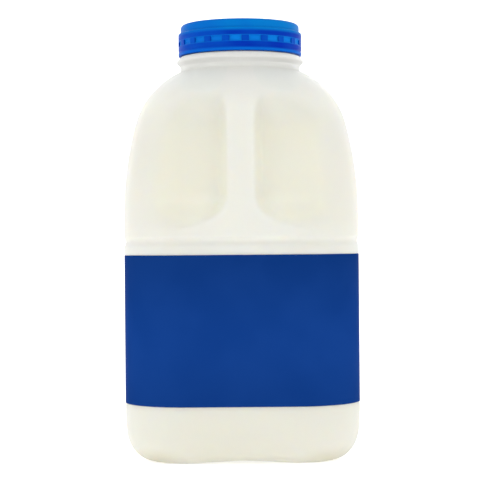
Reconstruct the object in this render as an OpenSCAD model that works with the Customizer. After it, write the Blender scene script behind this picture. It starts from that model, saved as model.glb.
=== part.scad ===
// One-pint milk bottle: a blown, square bottle with a blind grip, filled with milk,
// with a wrap-around label and a snap cap. Millimetres, +Z up, the front faces -Y.

/* [Body] */
// Width of the body across its flats
body_w = 76.6; // [66:0.2:92]
// Radius of the upright corners, seen from above
corner_r = 21; // [16:0.5:24]
// Thickness of the blown wall
wall = 0.7; // [0.5:0.1:1]
// Height above the grip's lower edge at which the sides begin to lean in
lean_gap = 4; // [1.5:0.5:12]
// Radius of the slow inward lean above that height
lean_r = 126; // [105:1:150]
// Slope of the sides where the lean meets the shoulder
lean_angle = 14; // [11:0.1:17]
// Radius of the shoulder
shoulder_r = 29; // [25:0.5:35]

/* [Base] */
// Width of the rounded bottom edge
foot_w = 8.6; // [7:0.1:11]
// Height of the rounded bottom edge
foot_h = 11; // [9:0.1:13]
// Width of the flat that the corners stand on
foot_flat = 2.2; // [1:0.1:4]
// Rise of the shallow arch in the middle of each side
arch_rise = 1.05; // [0.3:0.05:1.6]
// Length of each arch
arch_l = 38.4; // [24:0.4:46]
// Rise of the hollow under the bottle
punt_rise = 5.5; // [2:0.1:7]
// Height of the heel's taper above the rounded bottom edge
heel_h = 5; // [2:0.1:6]
// How far the heel tapers in
heel_step = 0.3; // [0.1:0.05:0.8]

/* [Grip] */
// Width of the upright rib between the finger recesses
rib_w = 7.2; // [5:0.1:12]
// Width of the rib where it spreads at its foot
rib_foot_w = 38; // [28:0.5:44]
// Height of the spread
rib_foot_h = 11; // [6:0.5:14]
// Width of the slope between the rib and a recess
flank_w = 3; // [1.5:0.1:4]
// Width of that slope at the rib's foot
foot_flank_w = 5; // [4:0.5:8]
// Depth of the recesses beside the rib
grip_depth = 3.6; // [2.5:0.1:6]
// Plain margin between a recess and the side of the body
grip_margin = 7; // [7:0.5:12]
// Width over which a recess fades out towards that margin
grip_side = 14; // [8:0.5:18]
// Height of the recesses' lower edge above the middle of the waist's groove
grip_gap = 4; // [3.3:0.1:6]
// Height of the recesses
grip_h = 46; // [38:0.5:47]
// Length over which a recess sets in at its foot
grip_rise = 9; // [5:0.5:12]
// Length over which a recess fades out at its top
grip_fade = 12; // [9:0.5:18]

/* [Waist] */
// Height of the groove's middle above the label
groove_gap = 4.3; // [3.3:0.1:6]
// Height of the groove from edge to edge
groove_h = 3.6; // [2:0.1:4.4]
// Depth of the groove
groove_depth = 0.55; // [0.3:0.05:1]

/* [Label] */
// Gap between the heel's taper and the label
label_gap = 2.8; // [1.5:0.1:6]
// Height of the label
label_h = 47.9; // [36:0.1:60]
// Thickness of the label film
label_t = 0.2; // [0.15:0.05:0.3]

/* [Neck] */
// How far the neck's root stands out from the finish
root_proud = 2; // [1:0.1:3]
// Height of the root
root_h = 1.6; // [1:0.1:3]
// How far the collar under the cap stands out from the finish
collar_proud = 3.2; // [2:0.1:4.5]
// Height of the collar
collar_h = 3.3; // [2.4:0.1:4]
// How far the collar's top edge stands back from its widest part
collar_taper = 1; // [0.4:0.1:1.8]
// Outside diameter of the finish that the cap grips
finish_d = 36.2; // [32:0.1:40]
// Height of the finish above the collar
finish_h = 9.4; // [8:0.1:13]
// Wall of the finish
finish_wall = 1.5; // [1:0.1:2.2]

/* [Cap] */
// Gap between the cap's skirt and the collar
cap_gap = 0.3; // [0.2:0.1:1.2]
// Clearance round the finish
cap_clear = 0.25; // [0.1:0.05:0.5]
// Thickness of the cap's top
cap_top_t = 1.5; // [1:0.1:2.2]
// Height of the wider lower band
band_h = 7.8; // [5.8:0.1:8.2]
// Step between the upper part and the band
band_step = 0.8; // [0.4:0.05:1.2]
// Thickness of the upper part's skirt
skirt_t = 1.6; // [1:0.05:1.8]
// Radius of the cap's top edge
cap_edge_r = 1.2; // [0.6:0.1:1.8]
// Plain margin round the shallow dish in the cap's top
dish_margin = 4; // [2.5:0.1:7]
// Depth of the dish
dish_depth = 0.4; // [0.2:0.1:0.6]
// Number of windows round the band
windows = 20; // [12:1:28]
// Angle by which the windows are turned round the cap
window_turn = 5; // [0:1:17]
// Height of a window
window_h = 1.7; // [1:0.1:2.6]
// Width of the bar between two windows
window_bar = 2.4; // [0.8:0.1:3]
// Depth of a window
window_depth = 0.45; // [0.2:0.05:0.6]
// Height of the windows' lower edge above the rim of the cap
window_z = 3.2; // [2.2:0.1:3.6]

/* [Milk] */
// Depth of the head space between the milk and the neck's root
head_space = 8; // [6.5:0.1:28]

/* [Hidden] */
eps = 0.01;

body_r = body_w / 2;
flat = body_r - corner_r;
label_r = body_r - label_t;
finish_r = finish_d / 2;
bore_r = finish_r - finish_wall;
collar_r = finish_r + collar_proud;
root_r = finish_r + root_proud;

// The features of the straight part stack up from the bottom.
heel_z = foot_h + heel_h;
label_z = heel_z + label_gap;
label_top_z = label_z + label_h;
groove_z = label_top_z + groove_gap;
grip_z0 = groove_z + grip_gap;
lean_z = grip_z0 + lean_gap;

// The side seen from the front is a straight wall, a slow lean and a shoulder, each tangent
// to the last. s is the side's slope from the vertical, in degrees.
lean_end_r = body_r - lean_r * (1 - cos(lean_angle));
lean_end_z = lean_z + lean_r * sin(lean_angle);
slope_end = acos(cos(lean_angle) - (lean_end_r - root_r) / shoulder_r);
root_z = lean_end_z + shoulder_r * (sin(slope_end) - sin(lean_angle));
function slope_z(s) = s <= lean_angle ? lean_z + lean_r * sin(s)
    : lean_end_z + shoulder_r * (sin(s) - sin(lean_angle));
function slope_r(s) = s <= lean_angle ? body_r - lean_r * (1 - cos(s))
    : lean_end_r - shoulder_r * (cos(lean_angle) - cos(s));
function slope_at(z) = z <= lean_z ? 0
    : z <= lean_end_z ? asin((z - lean_z) / lean_r)
    : asin((z - lean_end_z) / shoulder_r + sin(lean_angle));

collar_z = root_z + root_h;
finish_z = collar_z + collar_h;
cap_z = finish_z + cap_gap;
neck_top_z = finish_z + finish_h;
milk_z = root_z - head_space;

// ---- Outline of a level slice ---------------------------------------------------------
function clamp01(t) = min(max(t, 0), 1);
function ease(t) = let (c = clamp01(t)) c * c * (3 - 2 * c);

// Distance from the axis to a square of half-width r with round corners whose centres lie
// at +-f, in the direction a degrees from the middle of the nearest side.
function square_reach(a, r, f) = r * tan(a) <= f ? r / cos(a)
    : f * (cos(a) + sin(a)) + sqrt(pow(r - f, 2) - f * f * (1 - sin(2 * a)));

// Half-width of the rib and width of its slope at a height: both grow towards the rib's foot,
// which spreads as a quarter of an ellipse.
function rib_foot(z) = clamp01((grip_z0 + rib_foot_h - z) / rib_foot_h);
function rib_half(z) = rib_w / 2 + (rib_foot_w - rib_w) / 2 * (1 - sqrt(1 - pow(rib_foot(z), 2)));
function rib_flank(z) = flank_w + (foot_flank_w - flank_w) * rib_foot(z);

// Depth of the finger recess at a distance x from the middle of the front.
function recess(x, z, r) = let (
        edge = rib_half(z),
        outer = r - grip_margin,
        across = clamp01((x - edge) / rib_flank(z)) * ease((outer - x) / grip_side),
        up = ease((z - grip_z0) / grip_rise) * ease((grip_z0 + grip_h - z) / grip_fade))
    outer <= edge ? 0 : grip_depth * across * up;

// Directions of the points of a slice within an eighth of a turn, from the middle of a side
// to a corner. The front and back have two points that follow the rib's edge.
corner_steps = [0.21, 0.5, 0.667, 0.833];
function face_angles(z, r, inset) = let (
        reach = z < grip_z0 ? body_r : r,
        first = atan((rib_half(z) - inset) / reach),
        last = atan((rib_half(z) + rib_flank(z) - inset) / reach))
    concat([0, first, last], [for (s = corner_steps) last + s * (45 - last)]);
side_angles = [0, 13.5, 26.8, 32.8, 38.9];

// All directions of a slice from the front, anticlockwise, each with its side's number.
function mirrored(angles) = concat([for (i = [len(angles) - 1:-1:1]) -angles[i]], angles);
function slice_dirs(z, r, inset) = let (
        face = mirrored(face_angles(z, r, inset)),
        side = mirrored(side_angles))
    [for (q = [0:3]) each concat([[q, -45]], [for (a = q % 2 == 0 ? face : side) [q, a]])];

// Rise of a foot's arch at a distance x from the middle of a side.
function arch(x) = abs(x) >= arch_l / 2 ? 0 : arch_rise * (1 + cos(360 * x / arch_l)) / 2;

// One slice: z is its height, r its half-width, f the offset of its corner centres, lift the
// share of the arch that it follows and inset the wall that lies outside it.
function slice(z, r, f, lift = 0, inset = 0) = [for (d = slice_dirs(z, r, inset))
    let (
        reach = square_reach(abs(d[1]), r, f),
        x = reach * sin(d[1]),
        cut = d[0] % 2 == 0 ? recess(abs(x) + inset, z, r + inset) : 0,
        y = reach * cos(d[1]) - cut,
        turn = d[0] * 90)
    [x * cos(turn) + y * sin(turn), x * sin(turn) - y * cos(turn), z + lift * arch(x)]];

// A closed skin through slices of equal length, from one point on the axis to another. Past
// the row named turn the skin comes back inside itself, and its triangles lean the other way,
// so that they match those of a skin that runs upwards through the same slices.
function ring_faces(k, n, leans) = [for (i = [0:n - 1])
    let (
        a = k * n + i,
        b = k * n + (i + 1) % n)
    each leans ? [[a, a + n, b + n], [a, b + n, b]] : [[a, a + n, b], [b, a + n, b + n]]];
module skin(slices, first_z, last_z, turn = 1000) {
    n = len(slices[0]);
    rows = len(slices);
    first = [for (i = [0:n - 1]) [rows * n, i, (i + 1) % n]];
    last = [for (i = [0:n - 1]) [rows * n + 1, (rows - 1) * n + (i + 1) % n, (rows - 1) * n + i]];
    sides = [for (k = [0:rows - 2]) each ring_faces(k, n, k >= turn)];
    polyhedron(points = concat([for (s = slices) each s], [[0, 0, first_z], [0, 0, last_z]]),
        faces = concat(first, sides, last), convexity = 8);
}

// ---- Slices of the bottle's outside and of its inside ---------------------------------
foot_out = body_r - heel_step - foot_w;
foot_in = foot_out - foot_flat;
corner_in = max(corner_r - heel_step - foot_w - foot_flat, 2);

// Under the bottle, at a share t of the way from the axis to the foot.
function punt_slices(w) = [for (t = [0.4, 0.75, 1])
    slice(w + punt_rise * (1 - t * t), t * foot_in, t * (foot_in - corner_in), t * t)];

// The rounded bottom edge: a quarter of an ellipse swept round the body, with a wall w outside.
function foot_slices(w, step) = [for (a = [0:step:90]) let (
        z = foot_h - (foot_h - w) * cos(a),
        r = foot_out + (foot_w - w) * sin(a))
    slice(z, r, flat, pow(1 - sin(a), 1.5), w)];

// Depth of the waist's groove, and half-width of the straight part with the step for the label.
wall_step = 0.8;
function groove(z) = groove_depth * (1 + cos(180 * min(abs(z - groove_z) / (groove_h / 2), 1))) / 2;
function side_r(z) = z > label_z - eps && z < label_top_z + eps ? label_r : body_r - groove(z);
label_zs = [label_z - wall_step, label_z, label_top_z, label_top_z + wall_step];
function groove_zs(step) = [for (k = [-1:step:1]) groove_z + k * groove_h / 2];
function side_slices(w, zs) = [for (z = zs) slice(z, side_r(z) - w, flat, 0, w)];

// Above the waist the corner centres close on the axis as the shoulder narrows to the neck.
function upper_flat(r) = flat * (r - root_r) / (body_r - root_r);
function upper_slice(z, w) = let (
        s = slope_at(z),
        r = slope_r(s))
    slice(z, r - w / cos(s), upper_flat(r), 0, w);
upper_zs = concat(
    [for (share = [0, 0.18, 0.36, 0.6, 1]) grip_z0 + share * rib_foot_h],
    [for (k = [1:5]) grip_z0 + rib_foot_h + k * (lean_end_z - grip_z0 - rib_foot_h) / 6],
    [for (k = [0:6]) slope_z(lean_angle + k * (slope_end - lean_angle) / 7)]);
function upper_slices(w, zs) = [for (z = zs) upper_slice(z, w)];

inner_zs = concat([for (z = upper_zs) if (z < milk_z - 0.5) z], [milk_z],
    [for (z = upper_zs) if (z > milk_z + 0.5) z]);

outside = concat(punt_slices(0), foot_slices(0, 18), side_slices(0, concat([heel_z], label_zs)),
    side_slices(0, groove_zs(0.5)), upper_slices(0, upper_zs));
function inside(zs) = concat(punt_slices(wall), foot_slices(wall, 30),
    side_slices(wall, concat([heel_z], groove_zs(1))), upper_slices(wall, zs));
function reversed(list) = [for (i = [len(list) - 1:-1:0]) list[i]];

// The neck is round: its profile runs up the outside, over the lip and down the bore.
neck_profile = let (lip = 0.5) [
    [root_r, root_z], [root_r, collar_z], [collar_r, collar_z + collar_h / 2],
    [collar_r - collar_taper, finish_z], [finish_r, finish_z],
    [finish_r, neck_top_z - lip], [finish_r - lip, neck_top_z], [bore_r, neck_top_z],
    [bore_r, finish_z], [root_r - wall, collar_z], [root_r - wall, root_z]];

// ---- Nodes ----------------------------------------------------------------------------
module bottle() {
    color([0.92, 0.92, 0.88])
        skin(concat(outside, [for (p = neck_profile) slice(p[1], p[0], 0)],
            reversed(inside(inner_zs))), punt_rise, punt_rise + wall,
            len(outside) + len(neck_profile) - 1);
}

module milk() {
    color([0.98, 0.96, 0.88])
        skin(inside([for (z = inner_zs) if (z <= milk_z) z]), punt_rise + wall, milk_z);
}

// Outline of the body with straight sides, as exact circles and squares.
module round_square(r) {
    for (x = [-flat, flat], y = [-flat, flat])
        translate([x, y])
            circle(r - flat, $fn = 96);
    square([2 * r, 2 * flat], center = true);
    square([2 * flat, 2 * r], center = true);
}

module label() {
    color([0.08, 0.23, 0.53])
        translate([0, 0, label_z])
            linear_extrude(label_h)
                difference() {
                    round_square(label_r + label_t);
                    round_square(label_r);
                }
}

// The cap: a band with windows, a narrower top part with a rounded edge, hollow inside.
cap_in_r = finish_r + cap_clear;
cap_up_r = cap_in_r + skirt_t;
cap_r = cap_up_r + band_step;
cap_top_z = neck_top_z + cap_top_t;
dish_r = cap_up_r - dish_margin;
module cap_outside() {
    shoulder = 0.6;
    edge_steps = 6;
    edge = [for (k = [0:edge_steps]) let (a = 90 * k / edge_steps)
        [cap_up_r - cap_edge_r * (1 - cos(a)), cap_top_z - cap_edge_r * (1 - sin(a))]];
    rotate_extrude($fn = 96)
        polygon(concat([[0, cap_z], [cap_r - 0.3, cap_z], [cap_r, cap_z + 0.3],
            [cap_r, cap_z + band_h - shoulder], [cap_r - 0.25, cap_z + band_h - 0.2],
            [cap_up_r, cap_z + band_h]], edge,
            [[dish_r, cap_top_z], [dish_r - dish_depth, cap_top_z - dish_depth],
            [0, cap_top_z - dish_depth]]));
}

// A window is the part of a thin ring between two bars.
module cap_windows() {
    ring_r = cap_r - window_depth;
    difference() {
        translate([0, 0, cap_z + window_z])
            linear_extrude(window_h)
                difference() {
                    circle(cap_r + 1, $fn = 96);
                    circle(ring_r, $fn = 96);
                }
        for (k = [0:windows - 1])
            rotate([0, 0, window_turn + 360 * k / windows])
                translate([cap_r, 0, cap_z + window_z + window_h / 2])
                    cube([cap_r / 2, window_bar, window_h + 1], center = true);
    }
}

module cap() {
    color([0.02, 0.4, 0.8])
        difference() {
            cap_outside();
            translate([0, 0, cap_z - 1])
                cylinder(h = neck_top_z - cap_z + 1, r = cap_in_r, $fn = 96);
            cap_windows();
        }
}

bottle();
milk();
label();
cap();
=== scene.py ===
"""A filled one-pint milk bottle: blown shell, milk, label sleeve and snap cap, in studio light."""
import math

import bmesh
import bpy
import numpy as np
from mathutils import Euler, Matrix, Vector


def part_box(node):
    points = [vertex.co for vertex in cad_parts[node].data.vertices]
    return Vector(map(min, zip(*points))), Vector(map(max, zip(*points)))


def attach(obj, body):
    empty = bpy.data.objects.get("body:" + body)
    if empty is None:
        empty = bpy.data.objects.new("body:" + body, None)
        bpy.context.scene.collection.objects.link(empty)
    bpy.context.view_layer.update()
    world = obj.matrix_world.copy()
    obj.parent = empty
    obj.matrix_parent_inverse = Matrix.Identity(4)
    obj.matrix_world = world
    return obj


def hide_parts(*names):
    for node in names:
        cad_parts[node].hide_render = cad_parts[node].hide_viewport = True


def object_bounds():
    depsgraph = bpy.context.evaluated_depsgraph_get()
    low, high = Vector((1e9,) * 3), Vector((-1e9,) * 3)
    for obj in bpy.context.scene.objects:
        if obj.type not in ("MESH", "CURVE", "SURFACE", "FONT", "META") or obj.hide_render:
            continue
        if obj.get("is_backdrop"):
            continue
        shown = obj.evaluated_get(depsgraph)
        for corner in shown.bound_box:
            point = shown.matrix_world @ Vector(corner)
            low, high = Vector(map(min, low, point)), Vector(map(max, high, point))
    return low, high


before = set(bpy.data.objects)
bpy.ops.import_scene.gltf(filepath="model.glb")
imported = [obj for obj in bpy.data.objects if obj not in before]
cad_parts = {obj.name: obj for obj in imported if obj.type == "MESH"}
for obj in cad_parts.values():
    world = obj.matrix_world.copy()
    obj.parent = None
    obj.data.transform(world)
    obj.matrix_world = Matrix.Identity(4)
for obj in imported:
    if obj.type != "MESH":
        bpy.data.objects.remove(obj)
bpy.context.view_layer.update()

MM = 0.001

# ---- Sizes in millimetres, read from the frame or the same as the part's ---------------------
cap_low, cap_high = [1000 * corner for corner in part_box("cap")]
label_low, label_high = [1000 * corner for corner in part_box("label")]
MILK_Z = 1000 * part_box("milk")[1].z
NECK_TOP_Z = 1000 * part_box("bottle")[1].z
BODY_R = label_high.x
LABEL_T, LABEL_STEP = 0.2, 0.8
CORNER_R, WALL = 21.0, 0.7
FLAT = BODY_R - CORNER_R

# The foot: its rounded edge, the arch in each side, the hollow underside and the heel over them.
FOOT_W, FOOT_H, FOOT_FLAT = 8.6, 11.0, 2.2
ARCH_RISE, ARCH_L, PUNT_RISE = 1.05, 38.4, 5.5
HEEL_H, HEEL_STEP = 5.0, 0.3
SEAM_H, SEAM_W = 0.16, 0.22

# The waist groove, the two finger recesses over it and the rib between them.
GROOVE_Z, GROOVE_H, GROOVE_DEPTH = label_high.z + 4.3, 3.6, 0.55
GRIP_Z, GRIP_H, GRIP_RISE, GRIP_FADE = GROOVE_Z + 4.0, 46.0, 9.0, 12.0
GRIP_DEPTH, GRIP_MARGIN, GRIP_SIDE = 3.6, 7.0, 14.0
RIB_HALF, RIB_FOOT_HALF, RIB_FOOT_H, RIB_FLANK, FOOT_FLANK = 3.6, 19.0, 11.0, 3.6, 6.0

# The lean, the shoulder, the neck's root, the collar and the finish that the cap sits on.
LEAN_Z, LEAN_R, LEAN_ANGLE = GRIP_Z + 4.0, 126.0, math.radians(14)
SHOULDER_R = 29.0
FINISH_R, FINISH_WALL = 18.1, 1.5
ROOT_R, ROOT_H = FINISH_R + 2.0, 1.6
COLLAR_R, COLLAR_H, COLLAR_TAPER = FINISH_R + 3.2, 3.3, 1.0

# The side is a straight wall, a slow lean and a shoulder, each tangent to the last.
LEAN_END_R = BODY_R - LEAN_R * (1 - math.cos(LEAN_ANGLE))
LEAN_END_Z = LEAN_Z + LEAN_R * math.sin(LEAN_ANGLE)
SLOPE_END = math.acos(math.cos(LEAN_ANGLE) - (LEAN_END_R - ROOT_R) / SHOULDER_R)
ROOT_Z = LEAN_END_Z + SHOULDER_R * (math.sin(SLOPE_END) - math.sin(LEAN_ANGLE))
COLLAR_Z = ROOT_Z + ROOT_H
FINISH_Z = COLLAR_Z + COLLAR_H

# ---- Zones in which the shell's colour changes, in millimetres and shares --------------------
# The head space shows as a lobe on either side of the rib, and straight across the plain sides.
LOBE_X, LOBE_HALF, LOBE_RISE, LOBE_TOP, LOBE_FADE = 12.9, 8.0, 5.5, 8.0, 0.9
LOBE_DROP, SIDE_RISE = 1.6, 2.0

# The painted shade of a recess is full once the recess has reached this share of its depth.
RECESS_SHADE_AT = 1 / 3

# Painted light in the bends of a recess: beside the rib's flank, and over the foot of the recess.
FLANK_BEND_W, FLANK_BEND_FADE, FLANK_BEND_SHARE = 3.0, 4.0, 0.35
FLANK_BEND_H, FLANK_BEND_RISE = 33.0, 12.0
FOOT_BEND_H, FOOT_BEND_RISE = 13.0, 6.0
FOOT_BEND_X, FOOT_BEND_FADE, FOOT_BEND_LOSS = 8.0, 18.0, 0.85

# Painted shade on the corners: strongest beside the recesses, less so below them, and darkest at the feet.
CORNER_X, CORNER_FADE, CORNER_SHARE = 8.0, 16.0, 0.45
CORNER_LOW, CORNER_LOW_FADE = 4.0, 8.0
CORNER_HIGH, CORNER_HIGH_FADE, CORNER_TOP, CORNER_TOP_FADE = 40.0, 14.0, 44.0, 10.0
SHADED_FOOT_X, SHADED_FOOT_FADE, SHADED_FOOT_H, SHADED_FOOT_RISE = 16.0, 12.0, 6.0, 5.0


def clamp01(t):
    return np.clip(t, 0.0, 1.0)


def ease(t):
    t = clamp01(t)
    return t * t * (3 - 2 * t)


# ---- The blown shell as level slices ---------------------------------------------------------
def square_reach(a, r, f):
    """Distance from the axis to a square with round corners, in direction a from a side's middle."""
    on_flat = r * np.tan(a) <= f
    beyond = np.maximum((r - f) ** 2 - f * f * (1 - np.sin(2 * a)), 0)
    return np.where(on_flat, r / np.cos(a), f * (np.cos(a) + np.sin(a)) + np.sqrt(beyond))


def rib_foot(z):
    """How far down the rib's spreading foot a height is, from 0 at its top to 1."""
    return clamp01((GRIP_Z + RIB_FOOT_H - z) / RIB_FOOT_H)


def rib_half(z):
    """Half the rib's width, which grows in its foot as a quarter of an ellipse."""
    return RIB_HALF + (RIB_FOOT_HALF - RIB_HALF) * (1 - math.sqrt(1 - rib_foot(z) ** 2))


def rib_flank(z):
    """Width over which the rib's side falls into the recess."""
    return RIB_FLANK + (FOOT_FLANK - RIB_FLANK) * rib_foot(z)


def recess(x, z, r):
    """Depth of the finger recess at a distance x from the middle of the front."""
    edge, outer = rib_half(z), r - GRIP_MARGIN
    if outer <= edge:
        return np.zeros_like(x)
    across = ease((x - edge) / rib_flank(z)) * ease((outer - x) / GRIP_SIDE)
    up = ease((z - GRIP_Z) / GRIP_RISE) * ease((GRIP_Z + GRIP_H - z) / GRIP_FADE)
    return GRIP_DEPTH * across * up


def face_angles(z, r, inset):
    """Directions from the middle of the front to its corner, crowded along the rib's flank."""
    reach = BODY_R if z < GRIP_Z else r
    first = math.atan((rib_half(z) - inset) / reach)
    last = math.atan((rib_half(z) + rib_flank(z) - inset) / reach)
    corner = math.pi / 4
    rib_steps, flank_steps, panel_steps = 6, 8, 20
    return np.concatenate([
        first * np.linspace(0, 1, rib_steps)[:-1],
        first + (last - first) * np.linspace(0, 1, flank_steps)[:-1],
        last + (corner - last) * np.linspace(0, 1, panel_steps)[:-1]])


def side_angles():
    """Directions from the middle of a side to its corner, crowded along the mould seam."""
    seam = np.radians([0, 0.15, 0.3, 0.45, 0.65, 1.0])
    return np.concatenate([seam, np.radians(np.linspace(2.2, 45, 22))[:-1]])


def mirrored(half):
    """Directions from 0 upwards, with the same ones on the other side before them."""
    return np.concatenate([-half[:0:-1], half])


def slice_points(z, r, f, lift=0.0, inset=0.0, seam=0.0):
    """One slice of the shell, anticlockwise from the front left corner.

    It is at height z, with half-width r and half a side's flat f. It takes a share lift of the foot's
    arch, lies an inset inside the outer skin, and carries a mould seam of a height on its sides.
    """
    face, side = mirrored(face_angles(z, r, inset)), mirrored(side_angles())
    points = []
    for quarter in range(4):
        front = quarter % 2 == 0
        a = np.concatenate([[-math.pi / 4], face if front else side])
        reach = square_reach(np.abs(a), r, f)
        x, y = reach * np.sin(a), reach * np.cos(a)
        if front:
            y = y - recess(np.abs(x) + inset, z, r + inset)
        else:
            y = y + seam * np.exp(-(x / SEAM_W) ** 2)
        arch = np.where(np.abs(x) < ARCH_L / 2, ARCH_RISE * (1 + np.cos(2 * np.pi * x / ARCH_L)) / 2, 0)
        turn = quarter * math.pi / 2
        points.append(np.stack([
            x * math.cos(turn) + y * math.sin(turn),
            x * math.sin(turn) - y * math.cos(turn),
            z + lift * arch], axis=1))
    return np.concatenate(points)


def punt_slices(inset, steps):
    """The hollow underside, from near the axis out to the foot."""
    foot_in = BODY_R - HEEL_STEP - FOOT_W - FOOT_FLAT
    corner_in = max(CORNER_R - HEEL_STEP - FOOT_W - FOOT_FLAT, 2)
    return [slice_points(inset + PUNT_RISE * (1 - t * t), t * foot_in, t * (foot_in - corner_in), t * t)
            for t in np.linspace(0.1, 1, steps)]


def foot_slices(inset, steps):
    """The rounded bottom edge, a quarter of an ellipse."""
    centre = BODY_R - HEEL_STEP - FOOT_W
    slices = []
    for a in np.linspace(0, math.pi / 2, steps):
        z = FOOT_H - (FOOT_H - inset) * math.cos(a)
        r = centre + (FOOT_W - inset) * math.sin(a)
        slices.append(slice_points(z, r, FLAT, (1 - math.sin(a)) ** 1.5, inset, SEAM_H * math.sin(a)))
    return slices


def heel(z):
    """How far the tapering wall over the rounded edge stands back."""
    return HEEL_STEP * float(clamp01((FOOT_H + HEEL_H - z) / HEEL_H))


def side_r(z):
    """Half-width of the straight part of the body, with its groove and the step for the label."""
    near = min(abs(z - GROOVE_Z) / (GROOVE_H / 2), 1)
    groove = GROOVE_DEPTH * (1 + math.cos(math.pi * near)) / 2
    inside = min(z - label_low.z + LABEL_STEP, label_high.z + LABEL_STEP - z) / LABEL_STEP
    return BODY_R - groove - LABEL_T * float(ease(inside)) - heel(z)


def side_slices(inset, heights):
    return [slice_points(z, side_r(z) - inset, FLAT, 0, inset, SEAM_H) for z in heights]


def slope_at(z):
    """The side's slope from the upright at a height over the waist."""
    if z <= LEAN_Z:
        return 0.0
    if z <= LEAN_END_Z:
        return math.asin((z - LEAN_Z) / LEAN_R)
    return math.asin(min((z - LEAN_END_Z) / SHOULDER_R + math.sin(LEAN_ANGLE), 1))


def slope_r(s):
    """Half-width where the side has a slope s."""
    if s <= LEAN_ANGLE:
        return BODY_R - LEAN_R * (1 - math.cos(s))
    return LEAN_END_R - SHOULDER_R * (math.cos(LEAN_ANGLE) - math.cos(s))


def upper_slices(inset, heights):
    """Above the waist the corners close on the axis as the shoulder narrows to the neck."""
    slices = []
    for z in heights:
        s = slope_at(z)
        r = slope_r(s)
        f = FLAT * (r - ROOT_R) / (BODY_R - ROOT_R)
        slices.append(slice_points(z, r - inset / math.cos(s), f, 0, inset, SEAM_H))
    return slices


def upper_heights(step):
    """Heights from just over the waist groove to just under the neck's root."""
    gap = 0.6
    first, last = GROOVE_Z + GROOVE_H / 2 + gap, ROOT_Z - gap
    return np.linspace(first, last, int((last - first) / step))


def side_heights(step):
    """Heights from the foot to the waist groove, crowded at the label's edges and in the groove."""
    groove = GROOVE_Z + GROOVE_H / 2 * np.linspace(-1, 1, 15)
    lower = label_low.z - LABEL_STEP * np.linspace(1, 0, 5)
    upper = label_high.z + LABEL_STEP * np.linspace(0, 1, 5)
    taper = FOOT_H + HEEL_H * np.linspace(0, 1, 6)[1:]
    middle = np.linspace(lower[-1], upper[0], int((upper[0] - lower[-1]) / step))[1:-1]
    return np.concatenate([taper, lower, middle, upper, groove])


def arc(centre, radius, start, end, steps):
    """Points (radius, height) on an arc, with angles in degrees from the outward direction."""
    return [(centre[0] + radius * math.cos(a), centre[1] + radius * math.sin(a))
            for a in np.radians(np.linspace(start, end, steps))]


def neck_profile():
    """The neck from its root over the collar and the lip, then down the bore."""
    bore, root_bore = FINISH_R - FINISH_WALL, ROOT_R - WALL
    root_round, root_lift = 0.5, 0.35
    under_round, under_drop = 0.4, 0.1
    bead, edge, fillet = 0.8, 0.3, 0.3
    lip_outer, lip_inner, lip_below = 0.5, 0.4, 2
    return (arc((ROOT_R + root_round, ROOT_Z + root_lift), root_round, 235, 180, 5)
            + arc((ROOT_R + under_round, COLLAR_Z - under_drop), under_round, 180, 130, 4)
            + arc((COLLAR_R - bead, COLLAR_Z + COLLAR_H / 2), bead, -45, 40, 9)
            + arc((COLLAR_R - COLLAR_TAPER - edge, FINISH_Z - edge), edge, 20, 90, 5)
            + [(FINISH_R + fillet, FINISH_Z), (FINISH_R, FINISH_Z + fillet),
               (FINISH_R, NECK_TOP_Z - lip_below)]
            + arc((FINISH_R - lip_outer, NECK_TOP_Z - lip_outer), lip_outer, 0, 90, 5)
            + arc((bore + lip_inner, NECK_TOP_Z - lip_inner), lip_inner, 90, 180, 5)
            + [(bore, FINISH_Z), (root_bore, COLLAR_Z - under_round), (root_bore, ROOT_Z)])


def skin_mesh(name, slices, first_z, last_z):
    """A closed smooth mesh through slices, from one point on the axis to another."""
    n, rows = len(slices[0]), len(slices)
    points = np.concatenate(slices + [[[0, 0, first_z]], [[0, 0, last_z]]]) * MM
    first_pole, last_pole, last_row = rows * n, rows * n + 1, (rows - 1) * n
    pairs = [(i, (i + 1) % n) for i in range(n)]
    faces = [(first_pole, b, a) for a, b in pairs]
    for low in range(0, last_row, n):
        faces += [(low + a, low + b, low + n + b, low + n + a) for a, b in pairs]
    faces += [(last_pole, last_row + a, last_row + b) for a, b in pairs]
    mesh = bpy.data.meshes.new(name)
    mesh.from_pydata(points.tolist(), [], faces)
    mesh.shade_smooth()
    mesh.update()
    return mesh


def store(mesh, name, share):
    """Stores a share from 0 to 1 at every point of a mesh, which a finish reads."""
    attribute = mesh.attributes.new(name, "FLOAT", "POINT")
    for vertex, item in zip(mesh.vertices, attribute.data):
        item.value = float(clamp01(share(*(abs(c) / MM for c in vertex.co))))


def recess_shade(x, y, z):
    """Painted shade in a finger recess, by how far the recess has sunk."""
    return recess(x, z, slope_r(slope_at(z))) / (RECESS_SHADE_AT * GRIP_DEPTH)


def over_milk(x, y, z):
    """How far the wall has nothing behind it: over the milk, which stands higher in the rib."""
    lobe = MILK_Z - LOBE_DROP + LOBE_RISE * ((x - LOBE_X) / LOBE_HALF) ** 4
    edge = min(lobe, MILK_Z + LOBE_TOP) if y > x else MILK_Z + SIDE_RISE
    return ease((z - edge) / LOBE_FADE)


def bend_painted_light(x, y, z):
    """Painted light in the tight bends of a finger recess, beside the rib and at its foot."""
    flank_end = rib_half(z) + rib_flank(z) + FLANK_BEND_W
    beside = ease((flank_end - x) / FLANK_BEND_FADE) * ease((GRIP_Z + FLANK_BEND_H - z) / FLANK_BEND_RISE)
    outward = 1 - FOOT_BEND_LOSS * ease((x - FOOT_BEND_X) / FOOT_BEND_FADE)
    below = ease((GRIP_Z + FOOT_BEND_H - z) / FOOT_BEND_RISE) * outward
    return min(recess_shade(x, y, z), 1) * max(FLANK_BEND_SHARE * beside, below)


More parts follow.
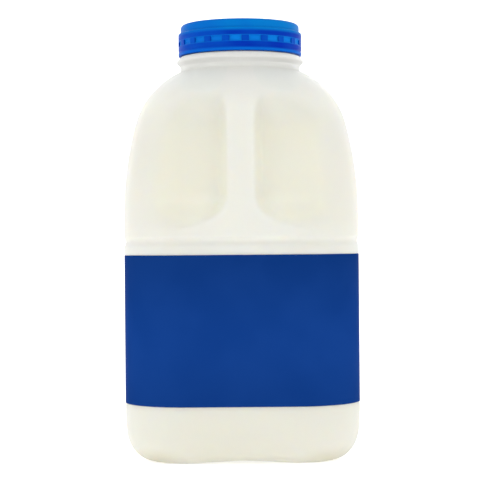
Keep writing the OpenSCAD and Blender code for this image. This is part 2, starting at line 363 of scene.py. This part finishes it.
def corner_shade(x, y, z):
    """Painted shade along the four corners, most beside the finger recesses."""
    across = ease((min(x, y) - CORNER_X) / CORNER_FADE)
    beside = (ease((z - GRIP_Z + CORNER_LOW) / CORNER_LOW_FADE)
              * ease((GRIP_Z + CORNER_HIGH - z) / CORNER_HIGH_FADE))
    top = ease((GRIP_Z + CORNER_TOP - z) / CORNER_TOP_FADE)
    return across * (CORNER_SHARE + (1 - CORNER_SHARE) * beside) * top


def foot_shade(x, y, z):
    """Painted shade low on the four corners, at the feet."""
    return ease((min(x, y) - SHADED_FOOT_X) / SHADED_FOOT_FADE) * ease((SHADED_FOOT_H - z) / SHADED_FOOT_RISE)


def add_piece(name, mesh, material, node):
    """Puts a finished mesh into the scene as a piece of the object, in place of a node."""
    piece = bpy.data.objects.new(name, mesh)
    bpy.context.collection.objects.link(piece)
    mesh.materials.clear()
    mesh.materials.append(material)
    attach(piece, "root")
    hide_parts(node)
    return piece


def make_bottle(material):
    """The shell as one skin: up the outside, over the lip and down the inside."""
    outside = (punt_slices(0, steps=12) + foot_slices(0, steps=18)
               + side_slices(0, side_heights(step=6)) + upper_slices(0, upper_heights(step=0.8)))
    neck = [slice_points(z, r, 0) for r, z in neck_profile()]
    inside = (punt_slices(WALL, steps=6) + foot_slices(WALL, steps=8)
              + side_slices(WALL, side_heights(step=12)) + upper_slices(WALL, upper_heights(step=1.6)))
    mesh = skin_mesh("bottle_shell", outside + neck + inside[::-1], PUNT_RISE, PUNT_RISE + WALL)
    for share in (recess_shade, over_milk, bend_painted_light, corner_shade, foot_shade):
        store(mesh, share.__name__, share)
    return add_piece("bottle_shell", mesh, material, "bottle")


# How far the milk reaches into the wall, and how its surface dips: (distance inwards, drop).
MILK_REACH = 0.3
MENISCUS = [(0.5, 0.25), (1.2, 0.5), (2.4, 0.7), (5, 0.8), (12, 0.8)]


def make_milk(material):
    """The milk fills the shell up to its level, and reaches just into the wall."""
    inset, step = WALL - MILK_REACH, 1.2
    heights = [z for z in upper_heights(step) if z < MILK_Z - step] + [MILK_Z - step / 2, MILK_Z]
    rim = slope_r(slope_at(MILK_Z))
    flat = FLAT * (rim - ROOT_R) / (BODY_R - ROOT_R)
    slices = (punt_slices(inset, steps=6) + foot_slices(inset, steps=8)
              + side_slices(inset, side_heights(step=12)) + upper_slices(inset, heights))
    for inward, drop in MENISCUS:
        r = rim - inset - inward
        slices.append(slice_points(MILK_Z - drop, r, flat * r / rim, inset=inset))
    mesh = skin_mesh("milk_fill", slices, PUNT_RISE + inset, MILK_Z - MENISCUS[-1][1])
    return add_piece("milk_fill", mesh, material, "milk")


# ---- Geometry Nodes helpers ------------------------------------------------------------------
class Tree:
    """Builds a node tree for a Geometry Nodes modifier with named inputs for its sizes."""

    def __init__(self, name, sizes):
        self.tree = bpy.data.node_groups.new(name, "GeometryNodeTree")
        self.tree.interface.new_socket("Geometry", in_out="OUTPUT", socket_type="NodeSocketGeometry")
        for label, value in sizes.items():
            kind = "NodeSocketInt" if isinstance(value, int) else "NodeSocketFloat"
            if isinstance(value, bpy.types.Material):
                kind = "NodeSocketMaterial"
            self.tree.interface.new_socket(label, in_out="INPUT", socket_type=kind)
        self.inputs = self.add("NodeGroupInput").outputs
        self.output = self.add("NodeGroupOutput")
        self.sizes = sizes

    def add(self, kind, **values):
        node = self.tree.nodes.new(kind)
        for key, value in values.items():
            setattr(node, key, value)
        return node

    def link(self, source, target):
        self.tree.links.new(source, target)

    def math(self, operation, first, second):
        node = self.add("ShaderNodeMath", operation=operation)
        for socket, value in zip(node.inputs, (first, second)):
            if isinstance(value, (int, float)):
                socket.default_value = value
            else:
                self.link(value, socket)
        return node.outputs[0]

    def finish(self, geometry):
        """Realizes the instances, sets the material and returns the result as a plain mesh."""
        realize = self.add("GeometryNodeRealizeInstances")
        paint = self.add("GeometryNodeSetMaterial")
        self.link(geometry, realize.inputs[0])
        self.link(realize.outputs[0], paint.inputs["Geometry"])
        self.link(self.inputs["Material"], paint.inputs["Material"])
        self.link(paint.outputs[0], self.output.inputs[0])
        holder = bpy.data.objects.new("holder", bpy.data.meshes.new("holder"))
        bpy.context.collection.objects.link(holder)
        modifier = holder.modifiers.new("nodes", "NODES")
        modifier.node_group = self.tree
        for item in self.tree.interface.items_tree:
            if item.in_out == "INPUT":
                modifier[item.identifier] = self.sizes[item.name]
        evaluated = holder.evaluated_get(bpy.context.evaluated_depsgraph_get())
        mesh = bpy.data.meshes.new_from_object(evaluated)
        holder.modifiers.clear()
        bpy.data.objects.remove(holder)
        return mesh


def weld(mesh):
    """Merges doubles and turns all faces outwards."""
    distance = 0.001 * MM
    work = bmesh.new()
    work.from_mesh(mesh)
    bmesh.ops.remove_doubles(work, verts=work.verts, dist=distance)
    bmesh.ops.recalc_face_normals(work, faces=work.faces)
    work.to_mesh(mesh)
    work.free()
    return mesh


def make_label(material):
    """The label: a film swept round a square path with round corners."""
    tree = Tree("label_sleeve", {
        "Width": 2 * (BODY_R - LABEL_T / 2) * MM, "Corner radius": (CORNER_R - LABEL_T / 2) * MM,
        "Height": (label_high.z - label_low.z) * MM, "Thickness": LABEL_T * MM,
        "Corner steps": 24, "Lower edge": label_low.z * MM, "Material": material})
    path = tree.add("GeometryNodeCurvePrimitiveQuadrilateral")
    rounded = tree.add("GeometryNodeFilletCurve", mode="POLY")
    film = tree.add("GeometryNodeCurvePrimitiveQuadrilateral")
    sweep = tree.add("GeometryNodeCurveToMesh")
    lift = tree.add("GeometryNodeTransform")
    place = tree.add("ShaderNodeCombineXYZ")
    for side in ("Width", "Height"):
        tree.link(tree.inputs["Width"], path.inputs[side])
    tree.link(path.outputs[0], rounded.inputs["Curve"])
    tree.link(tree.inputs["Corner radius"], rounded.inputs["Radius"])
    tree.link(tree.inputs["Corner steps"], rounded.inputs["Count"])
    tree.link(tree.inputs["Thickness"], film.inputs["Width"])
    tree.link(tree.inputs["Height"], film.inputs["Height"])
    tree.link(rounded.outputs[0], sweep.inputs["Curve"])
    tree.link(film.outputs[0], sweep.inputs["Profile Curve"])
    middle = tree.math("ADD", tree.inputs["Lower edge"], tree.math("MULTIPLY", tree.inputs["Height"], 0.5))
    tree.link(middle, place.inputs["Z"])
    tree.link(sweep.outputs[0], lift.inputs["Geometry"])
    tree.link(place.outputs[0], lift.inputs["Translation"])
    mesh = weld(tree.finish(lift.outputs[0]))
    mesh.name = "label_sleeve"
    return add_piece("label_sleeve", mesh, material, "label")


# ---- Cap -------------------------------------------------------------------------------------
CAP_Z, CAP_TOP_Z = cap_low.z, cap_high.z
CAP_R = cap_high.x
CAP_CLEAR, SKIRT_T = 0.25, 1.6
CAP_IN_R = FINISH_R + CAP_CLEAR
CAP_UP_R = CAP_IN_R + SKIRT_T
BAND_H, CAP_EDGE_R = 7.8, 1.2
DISH_R, DISH_DEPTH = CAP_UP_R - 4, 0.4
WINDOWS, WINDOW_H, WINDOW_BAR = 20, 1.7, 2.4
WINDOW_DEPTH, WINDOW_Z, WINDOW_TURN = 0.45, 3.2, 5
CAP_STEPS, CAP_MIDDLE_R, CAP_INNER_EDGE = 160, 8, 0.8
BAR_SUNK, BAR_OVERLAP, BAR_ROUND = 0.06, 0.1, 0.12


def cap_profile():
    """The outside of the cap's section: rim, line, groove for the windows, step, edge and dish."""
    rim, rim_chamfer, band_edge, step_round, dish_edge = 0.35, 0.15, 0.5, 0.22, 0.25
    line_low, line_high, line_slope = CAP_Z + 1.1, CAP_Z + 1.85, 0.25
    window_low = CAP_Z + WINDOW_Z
    window_high = window_low + WINDOW_H
    lead, chamfer, corner, floor = 0.15, 0.12, 0.1, 0.3
    back, face, line = CAP_R - WINDOW_DEPTH, CAP_R - chamfer, CAP_R - 0.18
    step_z, dish_z = CAP_Z + BAND_H, CAP_TOP_Z - DISH_DEPTH
    return ([(CAP_IN_R + 0.2, CAP_Z + rim_chamfer), (CAP_IN_R + 0.45, CAP_Z)]
            + arc((CAP_R - rim, CAP_Z + rim), rim, -90, 0, 6)
            + [(CAP_R, line_low), (line, line_low + line_slope)]
            + [(line, line_high - line_slope), (CAP_R, line_high)]
            + [(CAP_R, window_low - lead), (face, window_low)]
            + [(back + corner, window_low + chamfer), (back, window_low + floor)]
            + [(back, window_high - floor), (back + corner, window_high - chamfer)]
            + [(face, window_high), (CAP_R, window_high + lead)]
            + arc((CAP_R - band_edge, step_z - band_edge - lead), band_edge, 0, 80, 7)
            + arc((CAP_UP_R + step_round, step_z + corner), step_round, 260, 180, 5)
            + arc((CAP_UP_R - CAP_EDGE_R, CAP_TOP_Z - CAP_EDGE_R), CAP_EDGE_R, 0, 90, 10)
            + [(DISH_R + floor, CAP_TOP_Z)]
            + arc((DISH_R, CAP_TOP_Z - dish_edge), dish_edge, 90, 150, 4)
            + [(DISH_R - 0.7, dish_z), (DISH_R - 1.2, dish_z), (CAP_MIDDLE_R, dish_z)])


def make_cap(material):
    """The moulded cap without its window bars."""
    turn = 2 * np.pi * np.arange(CAP_STEPS) / CAP_STEPS
    ring = np.stack([np.sin(turn), -np.cos(turn)], axis=1)
    inside = [(CAP_MIDDLE_R, NECK_TOP_Z), (CAP_IN_R - CAP_INNER_EDGE, NECK_TOP_Z),
              (CAP_IN_R, NECK_TOP_Z - CAP_INNER_EDGE), (CAP_IN_R, CAP_Z + 1.0)]
    slices = [np.column_stack([ring * r, np.full(len(ring), z)]) for r, z in inside + cap_profile()]
    mesh = skin_mesh("cap_shell", slices, NECK_TOP_Z, CAP_TOP_Z - DISH_DEPTH)
    return add_piece("cap_shell", mesh, material, "cap")


def make_cap_bars(material):
    """The bars between the windows, set round the cap's groove."""
    tree = Tree("cap_bars", {
        "Count": WINDOWS, "Circle radius": (CAP_R - WINDOW_DEPTH / 2 - BAR_SUNK) * MM,
        "Bar width": WINDOW_BAR * MM, "Bar height": (WINDOW_H + 2 * BAR_OVERLAP) * MM,
        "Bar depth": (WINDOW_DEPTH + BAR_OVERLAP) * MM, "Turn": math.radians(WINDOW_TURN),
        "Height": (CAP_Z + WINDOW_Z + WINDOW_H / 2) * MM, "Material": material})
    circle = tree.add("GeometryNodeMeshCircle")
    bar = tree.add("GeometryNodeMeshCube")
    size = tree.add("ShaderNodeCombineXYZ")
    place = tree.add("ShaderNodeCombineXYZ")
    copies = tree.add("GeometryNodeInstanceOnPoints")
    facing = tree.add("FunctionNodeAlignEulerToVector", axis="X")
    outward = tree.add("GeometryNodeInputPosition")
    turn = tree.add("ShaderNodeCombineXYZ")
    lift = tree.add("GeometryNodeTransform")
    tree.link(tree.inputs["Count"], circle.inputs["Vertices"])
    tree.link(tree.inputs["Circle radius"], circle.inputs["Radius"])
    for axis, label in zip("XYZ", ("Bar depth", "Bar width", "Bar height")):
        tree.link(tree.inputs[label], size.inputs[axis])
    tree.link(size.outputs[0], bar.inputs["Size"])
    tree.link(outward.outputs[0], facing.inputs["Vector"])
    tree.link(circle.outputs[0], copies.inputs["Points"])
    tree.link(bar.outputs[0], copies.inputs["Instance"])
    tree.link(facing.outputs[0], copies.inputs["Rotation"])
    tree.link(copies.outputs[0], lift.inputs["Geometry"])
    tree.link(tree.inputs["Height"], place.inputs["Z"])
    tree.link(tree.inputs["Turn"], turn.inputs["Z"])
    tree.link(place.outputs[0], lift.inputs["Translation"])
    tree.link(turn.outputs[0], lift.inputs["Rotation"])
    mesh = tree.finish(lift.outputs[0])
    mesh.name = "cap_bars"
    piece = add_piece("cap_bars", mesh, material, "cap")
    bevel = piece.modifiers.new("round_edges", "BEVEL")
    bevel.width, bevel.segments = BAR_ROUND * MM, 2
    return piece


# ---- Finishes --------------------------------------------------------------------------------
def shader_group(name, inputs, outputs):
    """An effect shared by materials. Inputs map a name to a socket type and a value, outputs to a type."""
    group = bpy.data.node_groups.new(name, "ShaderNodeTree")
    for label, (kind, value) in inputs.items():
        group.interface.new_socket(label, in_out="INPUT", socket_type=kind).default_value = value
    for label, kind in outputs.items():
        group.interface.new_socket(label, in_out="OUTPUT", socket_type=kind)
    return group, group.nodes.new("NodeGroupInput"), group.nodes.new("NodeGroupOutput")


def noise(nodes, links, vector, scale, detail=3.0):
    """Soft noise from 0 to 1, with a scale that is a number or a socket."""
    node = nodes.new("ShaderNodeTexNoise")
    node.inputs["Detail"].default_value = detail
    if isinstance(scale, (int, float)):
        node.inputs["Scale"].default_value = scale
    else:
        links.new(scale, node.inputs["Scale"])
    links.new(vector, node.inputs["Vector"])
    return node.outputs["Fac"]


def grain_group():
    """Fine grain of a moulded surface, with slow waves: a height and a patchy mask."""
    group, source, sink = shader_group(
        "moulded_grain",
        {"Vector": ("NodeSocketVector", (0, 0, 0)), "Grain scale": ("NodeSocketFloat", 2500.0),
         "Wave scale": ("NodeSocketFloat", 90.0), "Wave share": ("NodeSocketFloat", 0.6)},
        {"Height": "NodeSocketFloat", "Mask": "NodeSocketFloat"})
    nodes, links = group.nodes, group.links
    fine = noise(nodes, links, source.outputs["Vector"], source.outputs["Grain scale"])
    slow = noise(nodes, links, source.outputs["Vector"], source.outputs["Wave scale"], detail=2.0)
    mix = nodes.new("ShaderNodeMix")
    links.new(source.outputs["Wave share"], mix.inputs["Factor"])
    links.new(fine, mix.inputs["A"])
    links.new(slow, mix.inputs["B"])
    links.new(mix.outputs["Result"], sink.inputs["Height"])
    links.new(slow, sink.inputs["Mask"])
    return group


class Finish:
    """A Principled material built up from procedural nodes."""

    def __init__(self, name, **values):
        self.material = bpy.data.materials.new(name)
        self.material.use_nodes = True
        self.nodes, self.links = self.material.node_tree.nodes, self.material.node_tree.links
        self.shader = self.nodes["Principled BSDF"]
        for key, value in values.items():
            self.shader.inputs[key.replace("_", " ")].default_value = value
        self.place = self.nodes.new("ShaderNodeTexCoord").outputs["Object"]
        self.height = self.nodes.new("ShaderNodeSeparateXYZ")
        self.links.new(self.place, self.height.inputs[0])

    def grain(self, group, strength, distance, **values):
        """Sets the moulded grain as a bump, and returns its patchy mask."""
        node = self.nodes.new("ShaderNodeGroup")
        node.node_tree = group
        for key, value in values.items():
            node.inputs[key.replace("_", " ")].default_value = value
        bump = self.nodes.new("ShaderNodeBump")
        bump.inputs["Strength"].default_value = strength
        bump.inputs["Distance"].default_value = distance
        self.links.new(self.place, node.inputs["Vector"])
        self.links.new(node.outputs["Height"], bump.inputs["Height"])
        self.links.new(bump.outputs["Normal"], self.shader.inputs["Normal"])
        return node.outputs["Mask"]

    def ramp(self, factor, stops):
        """A colour from stops (position, colour) with soft changes between them."""
        node = self.nodes.new("ShaderNodeValToRGB")
        node.color_ramp.interpolation = "EASE"
        elements = node.color_ramp.elements
        while len(elements) < len(stops):
            elements.new(0.5)
        for element, (position, colour) in zip(elements, stops):
            element.position = position
            element.color = (*colour, 1)
        self.links.new(factor, node.inputs["Fac"])
        return node.outputs["Color"]

    def span(self, value, low, high, out_low=0.0, out_high=1.0):
        """A value from low to high, turned into one from out_low to out_high."""
        node = self.nodes.new("ShaderNodeMapRange")
        numbers = {"From Min": low, "From Max": high, "To Min": out_low, "To Max": out_high}
        for key, number in numbers.items():
            node.inputs[key].default_value = number
        self.links.new(value, node.inputs["Value"])
        return node.outputs["Result"]

    def mix(self, factor, first, second):
        """Mixes two colours, each a tuple or a socket."""
        node = self.nodes.new("ShaderNodeMix")
        node.data_type = "RGBA"
        for socket, value in zip((node.inputs["Factor"], *node.inputs[6:8]), (factor, first, second)):
            if isinstance(value, tuple):
                socket.default_value = (*value, 1)
            else:
                self.links.new(value, socket)
        return node.outputs[2]

    def attribute(self, name):
        """A share that the piece's mesh carries at its points."""
        node = self.nodes.new("ShaderNodeAttribute")
        node.attribute_name = name
        return node.outputs["Fac"]

    def set(self, socket, source):
        self.links.new(source, self.shader.inputs[socket])


# Natural polyethylene over the milk: the plain wall by share of the height, darker towards the foot as
# painted shade, and the recesses' painted shade by share of the height, then painted shade on the corners
# and feet and painted light in the bends.
NATURAL_WALL = [
    (0.0, (0.875, 0.855, 0.745)), (0.12, (0.903, 0.89, 0.785)), (0.5, (0.922, 0.92, 0.86)),
    (0.6, (0.925, 0.922, 0.86)), (0.75, (0.93, 0.93, 0.86)), (0.82, (0.96, 0.957, 0.895)),
    (0.87, (0.985, 0.98, 0.925))]
# Painted shade in the finger recesses, by share of the height.
NATURAL_RECESS_SHADE = [(0.74, (0.915, 0.9, 0.778)), (0.8, (0.87, 0.862, 0.775))]
# Painted shade on the corners and feet, and painted light in the bends.
NATURAL_CORNER_SHADE, NATURAL_FOOT_SHADE, NATURAL_BEND_LIGHT = (0.882, 0.872, 0.798), (0.74, 0.71, 0.57), (1.0, 0.995, 0.87)

# The same over the head space, on the neck, and in the clouds that run through all of it.
NATURAL_EMPTY, NATURAL_NECK, NATURAL_CLOUD = (0.945, 0.96, 0.905), (0.99, 0.985, 0.945), (0.9, 0.9, 0.86)


def bottle_finish(grain):
    """Natural polyethylene: milky and satin, warm over the milk and greyer over the head space."""
    finish = Finish(
        "natural_polyethylene", Roughness=0.42, IOR=1.5, Transmission_Weight=0.5, Sheen_Weight=0.12)
    cloud = finish.grain(
        grain, strength=0.2, distance=0.0002, Grain_scale=2600.0, Wave_scale=70.0, Wave_share=0.7)
    up = finish.span(finish.height.outputs["Z"], 0.0, NECK_TOP_Z * MM)
    # The wall's colour by height, darker towards the foot as painted shade.
    wall = finish.ramp(up, NATURAL_WALL)
    # Painted shade along the corners.
    wall = finish.mix(finish.attribute("corner_shade"), wall, NATURAL_CORNER_SHADE)
    # Painted shade at the feet.
    wall = finish.mix(finish.attribute("foot_shade"), wall, NATURAL_FOOT_SHADE)
    # Painted shade in the finger recesses.
    wall = finish.mix(finish.attribute("recess_shade"), wall, finish.ramp(up, NATURAL_RECESS_SHADE))
    # Painted light in the bends of the recesses.
    wall = finish.mix(finish.attribute("bend_painted_light"), wall, NATURAL_BEND_LIGHT)
    neck = finish.span(up, COLLAR_Z / NECK_TOP_Z - 0.02, COLLAR_Z / NECK_TOP_Z)
    empty = finish.mix(neck, NATURAL_EMPTY, NATURAL_NECK)
    wall = finish.mix(finish.attribute("over_milk"), wall, empty)
    finish.set("Base Color", finish.mix(finish.span(cloud, 0.3, 0.7, 0.0, 0.12), wall, NATURAL_CLOUD))
    finish.set("Roughness", finish.span(cloud, 0.3, 0.7, 0.38, 0.48))
    return finish.material


def milk_finish(grain):
    """Whole milk: creamy, with light that spreads in it."""
    finish = Finish("whole_milk", Roughness=0.25, IOR=1.35, Subsurface_Weight=1.0, Subsurface_Scale=0.01)
    finish.shader.inputs["Subsurface Radius"].default_value = (1.0, 0.85, 0.6)
    cloud = finish.grain(
        grain, strength=0.03, distance=0.0001, Grain_scale=900.0, Wave_scale=40.0, Wave_share=0.8)
    finish.set("Base Color", finish.ramp(cloud, [(0.3, (0.975, 0.955, 0.85)), (0.7, (0.985, 0.97, 0.875))]))
    return finish.material


def label_finish(grain):
    """Navy film, printed all over."""
    finish = Finish("navy_film", Roughness=0.4, IOR=1.1, Specular_IOR_Level=0.01)
    cloud = finish.grain(
        grain, strength=0.08, distance=0.0001, Grain_scale=1800.0, Wave_scale=55.0, Wave_share=0.85)
    navy = finish.ramp(cloud, [(0.3, (0.0044, 0.035, 0.187)), (0.7, (0.0056, 0.039, 0.2))])
    finish.set("Base Color", navy)
    finish.set("Roughness", finish.span(cloud, 0.3, 0.7, 0.32, 0.4))
    return finish.material


# Blue polyethylene by how thick it is, and its bands by share of the cap's height; the dark band just under
# the step is thick plastic and partly painted shadow.
BLUE_TOP, BLUE_WINDOW, BLUE_RIM = (0.001, 0.155, 0.47), (0.002, 0.172, 0.59), (0.001, 0.12, 0.52)
# BLUE_STEP is thick plastic, and in the band just under the step also painted shadow.
BLUE_STEP, BLUE_BAND, BLUE_MID = (0.0003, 0.026, 0.33), (0.0003, 0.019, 0.325), (0.001, 0.078, 0.44)
BLUE_BANDS = [
    (0.0, BLUE_MID), (0.05, BLUE_RIM), (0.13, BLUE_BAND), (0.26, BLUE_BAND), (0.31, BLUE_WINDOW),
    (0.46, BLUE_WINDOW), (0.5, BLUE_STEP), (0.58, BLUE_STEP), (0.7, BLUE_TOP), (1.0, BLUE_TOP)]


def cap_finish(grain):
    """Blue plastic, lighter where it is thin: in the windows, at the rim and on the top; lighter to the
    left as painted light.
    """
    finish = Finish("blue_polyethylene", Roughness=0.36, Specular_IOR_Level=0.015)
    cloud = finish.grain(
        grain, strength=0.12, distance=0.0001, Grain_scale=2200.0, Wave_scale=120.0, Wave_share=0.5)
    up = finish.span(finish.height.outputs["Z"], CAP_Z * MM, CAP_TOP_Z * MM)
    blue = finish.ramp(up, BLUE_BANDS)
    # Painted light: the cap is lighter towards its left side.
    painted_light_left = finish.span(finish.height.outputs["X"], -4 * MM, -15 * MM, 0.0, 0.5)
    blue = finish.mix(painted_light_left, blue, BLUE_MID)
    patches = noise(finish.nodes, finish.links, finish.place, scale=75.0, detail=1.0)
    blue = finish.mix(finish.span(patches, 0.45, 0.65, 0.0, 0.35), blue, BLUE_MID)
    finish.set("Base Color", finish.mix(finish.span(cloud, 0.35, 0.65, 0.0, 0.12), blue, BLUE_MID))
    return finish.material


def bar_finish(grain):
    """The same plastic where it is thick."""
    finish = Finish("blue_polyethylene_thick", Roughness=0.36, Specular_IOR_Level=0.015)
    cloud = finish.grain(
        grain, strength=0.12, distance=0.0001, Grain_scale=2200.0, Wave_scale=120.0, Wave_share=0.5)
    finish.set("Base Color", finish.mix(finish.span(cloud, 0.35, 0.65, 0.35, 0.8), BLUE_STEP, BLUE_MID))
    return finish.material


# ---- Studio ----------------------------------------------------------------------------------
def studio_finish():
    """Matt white card that glows a little, so that the floor stays even."""
    finish = Finish("studio_white", Roughness=0.8, Emission_Strength=0.5, Emission_Color=(1, 1, 1, 1))
    soft = noise(finish.nodes, finish.links, finish.place, scale=6.0)
    finish.set("Base Color", finish.ramp(soft, [(0.3, (0.88, 0.88, 0.88)), (0.7, (0.9, 0.9, 0.9))]))
    return finish.material


def make_backdrop():
    """A pale floor that curves up into a wall behind the bottle."""
    near, far, bend, top, half = -2.5, 1.6, 0.8, 3.0, 3.2
    curve = [(far + bend * math.sin(a), bend * (1 - math.cos(a))) for a in np.linspace(0, math.pi / 2, 13)]
    profile = [(near, 0.0)] + curve + [(far + bend, top)]
    points = [(x, y, z) for y, z in profile for x in (-half, half)]
    faces = [(2 * k, 2 * k + 1, 2 * k + 3, 2 * k + 2) for k in range(len(profile) - 1)]
    mesh = bpy.data.meshes.new("backdrop")
    mesh.from_pydata(points, [], faces)
    mesh.shade_smooth()
    mesh.materials.append(studio_finish())
    backdrop = bpy.data.objects.new("backdrop", mesh)
    bpy.context.collection.objects.link(backdrop)
    backdrop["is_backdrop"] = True


def make_world(strength):
    world = bpy.data.worlds.new("studio")
    world.use_nodes = True
    world.node_tree.nodes["Background"].inputs["Color"].default_value = (1, 1, 1, 1)
    world.node_tree.nodes["Background"].inputs["Strength"].default_value = strength
    bpy.context.scene.world = world


def softbox(name, place, target, size, power):
    """A rectangular lamp that faces a target."""
    data = bpy.data.lights.new(name, "AREA")
    data.shape = "RECTANGLE"
    data.size, data.size_y = size
    data.energy = power
    lamp = bpy.data.objects.new(name, data)
    lamp.location = place
    aim = target - lamp.location
    lamp.rotation_euler = aim.to_track_quat("-Z", "Y").to_euler()
    bpy.context.collection.objects.link(lamp)


def make_camera():
    """A level view at half the bottle's height, turned a little about its own axis."""
    distance, height, lens, roll = 0.553, 0.0709, 122.0, math.radians(0.48)
    data = bpy.data.cameras.new("camera")
    data.sensor_width = 36.0
    data.lens = lens
    camera = bpy.data.objects.new("camera", data)
    camera.location = (0.0, -distance, height)
    camera.rotation_euler = Euler((math.pi / 2, roll, 0.0))
    bpy.context.collection.objects.link(camera)
    bpy.context.scene.camera = camera


def main():
    make_camera()
    make_world(strength=1.1)
    make_backdrop()
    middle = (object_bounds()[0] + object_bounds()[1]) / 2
    box_size = (0.5, 0.9)
    softbox("softbox_left", (-0.9, -0.5, 0.5), middle, box_size, power=1.2)
    softbox("softbox_right", (0.9, -0.5, 0.5), middle, box_size, power=0.8)
    bpy.context.scene.view_settings.view_transform = "Standard"
    grain = grain_group()
    make_bottle(bottle_finish(grain))
    make_milk(milk_finish(grain))
    make_label(label_finish(grain))
    make_cap(cap_finish(grain))
    make_cap_bars(bar_finish(grain))


main()
bpy.context.view_layer.update()
